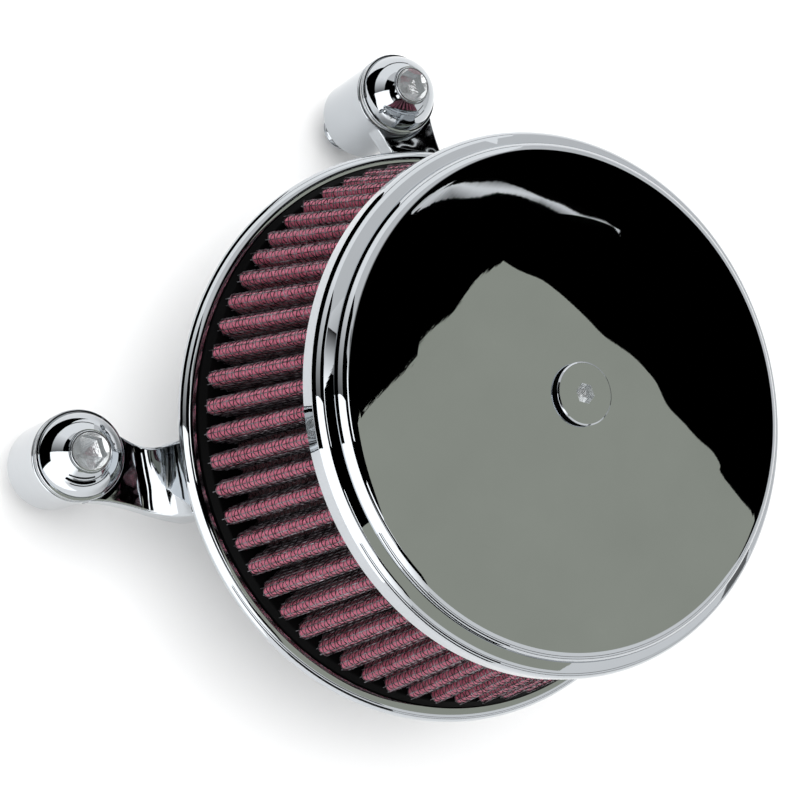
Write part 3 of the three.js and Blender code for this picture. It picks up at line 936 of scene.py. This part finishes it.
def gauze():
    """The pleated gauze: a closed sheet that puffs out through each opening of the wire mesh."""
    columns = 2 * PLEATS * WIRES_PER_FOLD
    rows = 2 * HOOPS + 1
    mesh_line, normal = fold_outline(columns)
    outer = mesh_line - normal * GAUZE_INSET
    inner = outer - normal * GAUZE_THICKNESS
    # The depth, carried in the weave attribute, sets the gauze's painted shade in the valleys and
    # painted light on the crests
    depth = (np.linalg.norm(mesh_line, axis=1) - MESH_VALLEY_R) / PLEAT_DEPTH
    heights = np.linspace(MEDIA_REAR_Z, MEDIA_FRONT_Z, rows)
    inside_column = (np.arange(columns) % 2).astype(float)
    sheets = []
    weave = []
    for row, z in enumerate(heights):
        opening = inside_column * ((row + 1) % 2) * (0 < row < rows - 1)
        points = (outer + normal * (GAUZE_PUFF * opening)[:, None]) * taper_at(z)
        sheets.append(np.column_stack([points, np.full(columns, z)]))
        weave.append(np.column_stack([np.arange(columns) / 2, np.full(columns, row / 2), depth]))
    for z in (MEDIA_FRONT_Z, MEDIA_REAR_Z):
        sheets.append(np.column_stack([inner * taper_at(z), np.full(columns, z)]))
        weave.append(np.column_stack([np.arange(columns) / 2, np.zeros(columns), np.zeros(columns)]))
    faces = grid_faces(rows + 2, columns)
    last = np.arange(columns) + (rows + 1) * columns
    first = np.arange(columns)
    closing = np.stack([last, np.roll(last, -1), np.roll(first, -1), first], axis=-1)
    all_faces = np.vstack([faces, closing]).tolist()
    piece = mesh_piece("fine_filter_media", np.vstack(sheets), all_faces, 60)
    attribute = piece.data.attributes.new("weave", "FLOAT_VECTOR", "POINT")
    attribute.data.foreach_set("vector", np.vstack(weave).astype(np.float32).ravel())
    stand_for(piece, "filter_media")


def tubes(name, paths, normals, radius, closed, sides=4):
    """Round wires along many paths at once: paths and normals are (wire, point, xyz) arrays."""
    wires, count, _ = paths.shape
    if closed:
        along = np.roll(paths, -1, axis=1) - np.roll(paths, 1, axis=1)
    else:
        along = np.gradient(paths, axis=1)
    across = np.cross(along, normals)
    across /= np.linalg.norm(across, axis=2)[..., None]
    out = np.cross(across, along)
    out /= np.linalg.norm(out, axis=2)[..., None]
    turns = np.arange(sides) * 2 * math.pi / sides + math.pi / sides
    circle = (
        out[:, :, None] * np.cos(turns)[:, None] + across[:, :, None] * np.sin(turns)[:, None]
    ) * radius
    points = paths[:, :, None] + circle
    index = np.arange(wires * count * sides).reshape(wires, count, sides)
    ahead = np.roll(index, -1, axis=1) if closed else index[:, 1:]
    here = index if closed else index[:, :-1]
    quads = np.stack(
        [here, ahead, np.roll(ahead, -1, axis=2), np.roll(here, -1, axis=2)], axis=-1
    ).reshape(-1, 4)
    faces = quads.tolist()
    if not closed:
        faces += index[:, 0].tolist()
        faces += index[:, -1, ::-1].tolist()
    return mesh_piece(name, points.reshape(-1, 3), faces, 100)


def mesh_hoops(name, hoops):
    """Wires that run round the pleats, over one straight wire and under the next."""
    count = 2 * PLEATS * WIRES_PER_FOLD
    outline, normal = fold_outline(count)
    pitch = (MEDIA_FRONT_Z - MEDIA_REAR_Z) / HOOPS
    paths = []
    for hoop in hoops:
        z = MEDIA_REAR_Z + (hoop + 0.5) * pitch
        swing = WEAVE * np.cos(math.pi * (np.arange(count) / 2 + hoop))
        loop = (outline + normal * swing[:, None]) * taper_at(z)
        paths.append(np.column_stack([loop, np.full(count, z)]))
    normals = np.broadcast_to(np.column_stack([normal, np.zeros(count)]), (len(hoops), count, 3))
    piece = tubes(name, np.array(paths), normals, WIRE_R, True, 3)
    dress(piece, "filter_media", "wire_screen")


def mesh_straights():
    """The wires that run up the pleats, cut off unevenly where they enter the rear cap."""
    count = PLEATS * WIRES_PER_FOLD
    outline, normal = fold_outline(count)
    draw = random.Random(7)
    paths = []
    for x, y in outline:
        low = MEDIA_REAR_Z - draw.uniform(-0.1, 0.9)
        paths.append([(x * taper_at(z), y * taper_at(z), z) for z in (low, MEDIA_FRONT_Z + 0.2)])
    normals = np.broadcast_to(np.column_stack([normal, np.zeros(count)])[:, None], (count, 2, 3))
    piece = tubes("wire_straights", np.array(paths), normals, WIRE_R, False)
    dress(piece, "filter_media", "wire_screen")


def inner_screen():
    """Diamond mesh behind the pleats: two sets of wires that wind opposite ways."""
    low, high = box_mm("filter_inner_screen")
    wire_r, wire_gap = 0.3, 0.12
    rear_r = high.x - 0.45
    wires, steps, twist = 90, 28, math.radians(40)
    paths = []
    for way in (1, -1):
        for k in range(wires):
            start = 2 * math.pi * k / wires
            path = []
            for i in range(steps + 1):
                share = i / steps
                z = low.z + wire_r + (high.z - low.z - 2 * wire_r) * share
                radius = rear_r * taper_at(z) - wire_gap * way
                angle = start + way * twist * share
                path.append((radius * math.cos(angle), radius * math.sin(angle), z))
            paths.append(path)
    paths = np.array(paths)
    normals = paths * (1, 1, 0)
    normals /= np.linalg.norm(normals, axis=2)[..., None]
    piece = tubes("fine_filter_inner_screen", paths, normals, wire_r, False)
    stand_for(piece, "filter_inner_screen")


def rear_cap():
    """The moulded ring that the pleats stand in, sloped round its outer edge."""
    inner = 57.6
    outer, low, top = REAR_CAP_HIGH.x, REAR_CAP_LOW.z, REAR_CAP_HIGH.z
    stand_for(revolve("fine_filter_rear_cap", [
        (inner, low, 0.5), (outer, low, 0.8), (outer, top - 1.9, 1.2),
        (outer - 1.4, top, 0.8), (inner, top, 0.8),
    ], FINE), "filter_rear_cap")


def front_cap():
    """The moulded ring over the pleats' front ends, with a raised lip that seals on the cover."""
    inner = 50.6
    outer, low = FRONT_CAP_HIGH.x, FRONT_CAP_LOW.z
    top, lip_top = low + 6.3, low + 10
    stand_for(revolve("fine_filter_front_cap", [
        (inner, low, 0.5), (outer, low, 0.5), (outer, top - 0.1, 1.6), (61.2, top, 0.6),
        (60.3, lip_top, 1.2), (54.8, lip_top, 1.2), (54, top, 0.6), (inner, top, 0.6),
    ], FINE), "filter_front_cap")


# ---------------- cover
def cover():
    """A pressed shell: upright skirt, rounded step, sloped ledge, crease, shoulder, domed face."""
    wall = 1.2
    dome_rise = 2.1
    seat_r = 9
    step_r, shoulder_r = 3.6, 3.9
    section = [(COVER_R, COVER_REAR_Z, 0)]
    section += arc(COVER_R - step_r, COVER_REAR_Z + 4.4, step_r, 0, 62, 14)
    section += arc(COVER_FACE_R - 0.3, COVER_FACE_Z - dome_rise - shoulder_r, shoulder_r, 8, 86, 20)
    for share in np.linspace(0.98, 0, 40):
        radius = seat_r + (COVER_FACE_R - seat_r) * share
        section.append((radius, COVER_FACE_Z - dome_rise * share * share, 0))
    section.append((4.5, COVER_FACE_Z, 0))
    outside = np.array([point[:2] for point in section])
    run = np.gradient(outside, axis=0)
    run /= np.linalg.norm(run, axis=1)[:, None]
    inside = outside + wall * np.column_stack([-run[:, 1], run[:, 0]])
    outline = [(*point, 0) for point in outside] + [(*point, 0) for point in inside[::-1]]
    stand_for(revolve("fine_cover", outline, FINE), "cover")


def cover_screw():
    """The 5/16-18 centre screw, with its wide, flat head."""
    low, high = box_mm("cover_screw")
    shank_r = 3.95
    head_r = (high.x - low.x) / 2
    seat = high.z - 1.1
    crown = high.z - 0.4
    screw = revolve("fine_cover_screw", [
        (0, low.z), (3.2, low.z, 0.2), (shank_r, low.z + 0.8, 0.2), (shank_r, seat, 0.15),
        (head_r - 0.15, seat, 0.1), (head_r, seat + 0.2, 0.1), (head_r, crown - 0.35, 0.15),
        (head_r - 0.4, crown, 0.15), (0, crown),
    ], 128, thread=Thread(shank_r, low.z + 0.4, seat - 4, 25.4 / 18, 0.75))
    combine(screw, [hexagon("socket", (0, 0), 4.76, high.z - 3.4, high.z + 1, 1.6)])
    mark_bare(screw, (0, 0), 2.8, high.z - 0.05)
    stand_for(screw, "cover_screw")


def flat_washer(node, bore):
    """A flat ring in a node's place, with its own bore."""
    low, high = box_mm(node)
    outer = (high.y - low.y) / 2
    stand_for(revolve(f"fine_{node}", [
        (bore, low.z), (outer, low.z), (outer, high.z), (bore, high.z),
    ], MEDIUM, 0.12, centre=centre_mm(node).xy), node)


# ---------------- breather bolts
def breather_bolt(side):
    """A hollow 1/2-13 bolt with a domed head, a hexagon socket and a cross hole for the gas."""
    node = f"{side}_breather_bolt"
    low, high = box_mm(node)
    centre = centre_mm(node).xy
    passage_r, shank_r, dome_r = 2.4, 6.35, 11.5
    passage_top = POST_FRONT_Z - 1.4
    flange_z = high.z - 9.9
    dome_z = flange_z + 1.5
    bolt = revolve(f"fine_{node}", [
        (0, passage_top), (passage_r, passage_top, 0), (passage_r, low.z, 0.4),
        (shank_r - 0.9, low.z, 0.2), (shank_r, low.z + 1, 0.2), (shank_r, flange_z, 0.3),
        (POST_R, flange_z, 0.35), (POST_R, flange_z + 0.62, 0.15), (POST_R - 0.35, flange_z + 0.72, 0.1),
        (POST_R - 0.1, flange_z + 0.9, 0.1), (POST_R - 0.1, dome_z, 0.3),
        (dome_r - 0.25, dome_z + 0.05, 0.15),
        *arc(0, dome_z - 2.2, dome_r, 12.5, 60, 18),
        (5.45, high.z - 0.75, 0.25), (5.3, high.z, 0.3), (0, high.z),
    ], 128, centre=centre, thread=Thread(shank_r, low.z + 0.5, low.z + 24, 25.4 / 13, 1.05))
    mouth = [(0, high.z - 1), (3.9, high.z - 1, 0), (5.1, high.z + 0.2, 0), (0, high.z + 0.2)]
    hole_ends = [(centre[0] + across, centre[1], BREATHER_Z) for across in (-10, 10)]
    tools = [
        hexagon("socket", centre, 7.94, high.z - 4.4, high.z + 1, 3.2),
        revolve("mouth", mouth, 64, centre=centre),
        rod("cross_hole", *hole_ends, 1.9),
    ]
    combine(bolt, tools)
    mark_bare(bolt, centre, 5, high.z - 0.05)
    stand_for(bolt, node)


def post_seal(side):
    """An O-ring in the rear of a post."""
    node = f"{side}_post_seal"
    centre = centre_mm(node)
    ring_r, cord_r = 8.3, 1.2
    stand_for(revolve(f"fine_{node}", [
        (ring_r + cord_r * math.cos(a), centre.z + cord_r * math.sin(a), 0)
        for a in np.arange(20) * math.pi / 10
    ], MEDIUM, centre=centre.xy), node)


# ---------------- the assembly
backplate()
intake_gasket()
intake_horn()
cover_bracket()
cover_nut()
for number in (1, 2, 3):
    intake_screw(f"intake_screw_{number}")
    standoff(f"standoff_{number}")
    bracket_screw(f"bracket_screw_{number}")
gauze()
mesh_hoops("wire_hoops_rear", range(HOOPS // 2))
mesh_hoops("wire_hoops_front", range(HOOPS // 2, HOOPS))
mesh_straights()
inner_screen()
rear_cap()
front_cap()
cover()
cover_screw()
flat_washer("cover_screw_washer", 4.35)
for name in SIDES:
    breather_bolt(name)
    flat_washer(f"{name}_bolt_washer", 6.75)
    post_seal(name)


# ---------------- floor, light and camera
TABLE = FLOOR_LEVEL * MM
BLACK, GREY, SILVER, BRIGHT, WHITE = [(level,) * 3 for level in (0, 0.2, 1.1, 1.4, 2.2)]
WARM_GREY = (0.485, 0.50, 0.425)


def stage_mesh(name, corners, material):
    """A single face of the set, in metres."""
    item = new_object(name, corners, [tuple(range(len(corners)))])
    item.data.materials.append(material)
    return item


def floor():
    m = Nodes("pale_floor")
    m.set(
        Base_Color=m.ramp(m.noise(3), (0.3, (0.90, 0.90, 0.90)), (0.7, (0.94, 0.94, 0.94))),
        Roughness=0.9,
    )
    corners = [(-8, -8), (8, -8), (8, 8), (-8, 8)]
    stage_mesh("floor", [(x, y, TABLE) for x, y in corners], m.material)


def card(name, corners, *colors):
    """A panel that only mirrors see, in one colour or blended between one for each corner."""
    material = bpy.data.materials.new(name)
    material.use_nodes = True
    tree = material.node_tree
    tree.nodes.clear()
    glow = tree.nodes.new("ShaderNodeEmission")
    shade = tree.nodes.new("ShaderNodeAttribute")
    shade.attribute_name = "shade"
    tree.links.new(shade.outputs["Color"], glow.inputs["Color"])
    out = tree.nodes.new("ShaderNodeOutputMaterial")
    tree.links.new(glow.outputs[0], out.inputs[0])
    item = stage_mesh(name, corners, material)
    shades = item.data.attributes.new("shade", "FLOAT_COLOR", "POINT")
    for i, point in enumerate(shades.data):
        point.color = (*colors[i % len(colors)], 1)
    item.visible_camera = False
    item.visible_diffuse = False
    item.visible_shadow = False
    item.visible_transmission = False


def level_card(name, outline, z, *colors):
    card(name, [(x, y, z) for x, y in outline], *colors)


def curved_card(name, start, end, inner, outer, low, high, color, fade_to=None):
    """A card that curves round the object between two angles, upright or flat, in narrow strips.

    Its colour can fade evenly to another at its far end.
    """
    steps = max(2, round((end - start) / 10))
    first, last = np.array(color), np.array(fade_to or color)
    for i in range(steps):
        shares = [k / steps for k in (i, i + 1)]
        turns = [start + (end - start) * share for share in shares]
        foot = [(*polar(inner, turn), low) for turn in turns]
        head = [(*polar(outer, turn), high) for turn in reversed(turns)]
        near, far = [tuple(first + (last - first) * share) for share in shares]
        card(f"{name}_{i}", foot + head, near, far, far, near)


def ceiling_cards():
    """Level cards overhead: the black and the grey that the cover's face mirrors, and lamps."""
    high_z, low_z, lamp_z = 1.1, 0.9, 1.0
    black_part = [(-1.3, -1.9), (1.9, -1.9), (1.9, 0.4), (-0.1, 0.4), (-0.35, 1.3), (-1.3, 1.3)]
    black_edge = [(-0.1, 0.4), (1.9, 0.4), (1.9, 0.65), (-0.17, 0.65)]
    grey_part = [(0.55, -0.125), (-0.5, 0.01), (-0.52, -0.25), (-1.2, -0.45), (-1.2, -1.5), (0.78, -1.5)]
    rail = [
        (0.5, 0.05), (0.58, 0.01), (0.65, -0.05), (0.69, -0.12), (0.76, -0.25),
        (0.75, -0.25), (0.68, -0.125), (0.632, -0.062), (0.562, -0.008), (0.49, 0.03),
    ]
    level_card("dark_ceiling", black_part, high_z, BLACK)
    level_card("dark_ceiling_edge", black_edge, high_z, BLACK, BLACK, SILVER, SILVER)
    level_card("lit_ceiling", grey_part, low_z, WARM_GREY)
    level_card("ceiling_rail", rail, low_z, GREY, SILVER)
    for name, start, end, colors in (
        ("lamp_left_end", 88, 112, (BLACK, WHITE)),
        ("lamp_left", 112, 140, (WHITE,)),
        ("lamp_right", 160, 200, (WHITE,)),
    ):
        curved_card(name, start, end, 0.46, 0.6, lamp_z, lamp_z, *colors)


def table_cards():
    """Cards that lie on the table or stand on edge near it, which the cover and rim mirror."""
    lay_z = TABLE + 0.001
    curved_card("black_table", 60, 142, 0.15, 0.9, lay_z, lay_z, BLACK)
    curved_card("window_on_table", 142, 186, 0.16, 0.85, lay_z, lay_z, WHITE)
    foot = [(-0.26, 0.04), (-0.12, -0.1)]
    for name, low, high in (("stand_shelf", 0.014, 0.040), ("stand_top", 0.062, 0.078)):
        upright = [(*point, low) for point in foot] + [(*point, high) for point in reversed(foot)]
        card(name, upright, BLACK)


def wall_cards():
    """Upright cards, each by its angles, radius, heights over the table and colours."""
    for name, start, end, radius, low, high, *colors in (
        ("black_wall", 90, 160, 0.9, 0, 1.1 - TABLE, BLACK),
        ("black_wall_end", 160, 185, 0.9, 0, 1.1 - TABLE, BLACK, SILVER),
        ("window", 126, 186, 0.85, 0, 0.8 - TABLE, WHITE),
        ("window_end", 186, 198, 0.86, 0, 0.8 - TABLE, WHITE, SILVER),
        ("silver_wall", 190, 300, 0.9, 0.04, 0.7 - TABLE, SILVER),
        ("grey_band", 190, 300, 0.88, 0.25, 0.31, GREY),
        ("bright_wall", 20, 90, 0.9, 0.04, 0.5 - TABLE, BRIGHT),
        ("bright_wall_end", 90, 126, 0.88, 0.04, 0.5 - TABLE, BRIGHT, GREY),
        ("dark_foot_near", 190, 300, 0.87, 0, 0.05, BLACK),
        ("dark_foot_far", 20, 90, 0.87, 0, 0.05, BLACK),
    ):
        curved_card(name, start, end, radius, radius, TABLE + low, TABLE + high, *colors)


def room():
    """An even white room, seen wherever there is no card."""
    world = bpy.data.worlds.new("white_room")
    scene.world = world
    world.use_nodes = True
    background = world.node_tree.nodes["Background"]
    background.inputs["Color"].default_value = (1, 1, 1, 1)
    background.inputs["Strength"].default_value = 0.92


def key_light():
    """One large soft lamp overhead, which mirrors don't see."""
    key = bpy.data.lights.new("key", "AREA")
    key.energy = 14
    key.size = 1.2
    lamp = bpy.data.objects.new("key", key)
    lamp.location = (0.05, 0.35, 1.3)
    lamp.rotation_euler = (-lamp.location).to_track_quat("-Z", "Y").to_euler()
    lamp.visible_camera = False
    lamp.visible_glossy = False
    scene.collection.objects.link(lamp)


def camera():
    """A long lens, above and to the left of the cover's face."""
    data = bpy.data.cameras.new("camera")
    data.lens = 78.3
    item = bpy.data.objects.new("camera", data)
    place = Vector((-0.2116, 0.1390, 0.4305))
    target = Vector((-0.0228, 0.0277, 0.0500))
    up_hint = Vector((0.710, 0.688, 0.151))
    back = (place - target).normalized()
    right = up_hint.cross(back).normalized()
    rotation = Matrix((right, back.cross(right), back)).transposed()
    item.matrix_world = Matrix.Translation(place) @ rotation.to_4x4()
    scene.collection.objects.link(item)
    scene.camera = item


floor()
room()
ceiling_cards()
table_cards()
wall_cards()
key_light()
camera()
scene.view_settings.view_transform = "Standard"
